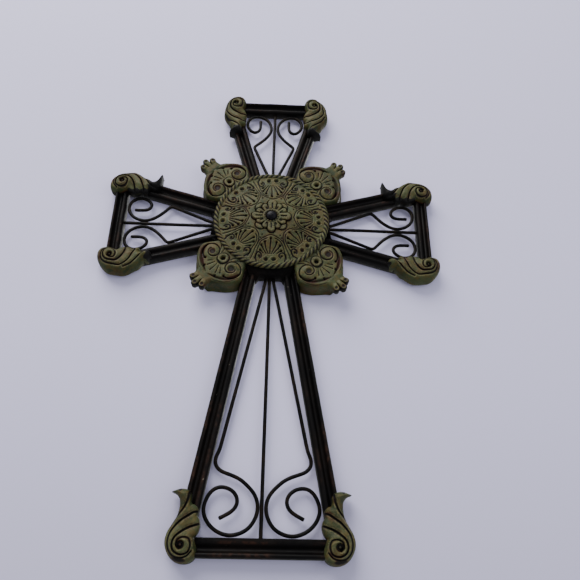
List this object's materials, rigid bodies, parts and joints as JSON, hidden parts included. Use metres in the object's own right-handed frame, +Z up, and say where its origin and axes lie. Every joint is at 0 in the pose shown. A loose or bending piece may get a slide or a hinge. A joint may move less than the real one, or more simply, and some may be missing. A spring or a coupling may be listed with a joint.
{
  "type": "wall_cross",
  "caption": "Wall cross with dark moulded rails, patinated acanthus scrolls and palmettes, a rope-edged rosette, and bent wires in its open arms",
  "frame": {"origin": "in the plane of the flat back, behind the middle of the rosette, where the four arms cross", "axes": "+Z up the long axis of the cross towards the short top arm, -Y out of the carved front, +Y into the wall, +X to the right seen from the front"},
  "size_m": [0.3022, 0.0272, 0.4307],
  "materials": {
    "frame_paint": "cast resin, rails painted near-black bronze, ornaments rubbed verdigris green and tan",
    "wire_paint": "satin black-brown paint on steel wire",
    "bead_gloss": "glossy dark bead"
  },
  "bodies": {
    "root": {"cast_cross": "frame_paint", "centre_bead": "bead_gloss", "top_rod": "wire_paint", "top_scroll_a": "wire_paint", "top_scroll_b": "wire_paint", "left_rod": "wire_paint", "left_scroll_a": "wire_paint", "left_scroll_b": "wire_paint", "bottom_rod": "wire_paint", "bottom_scroll_a": "wire_paint", "bottom_scroll_b": "wire_paint", "right_rod": "wire_paint", "right_scroll_a": "wire_paint", "right_scroll_b": "wire_paint"}
  },
  "joints": []
}
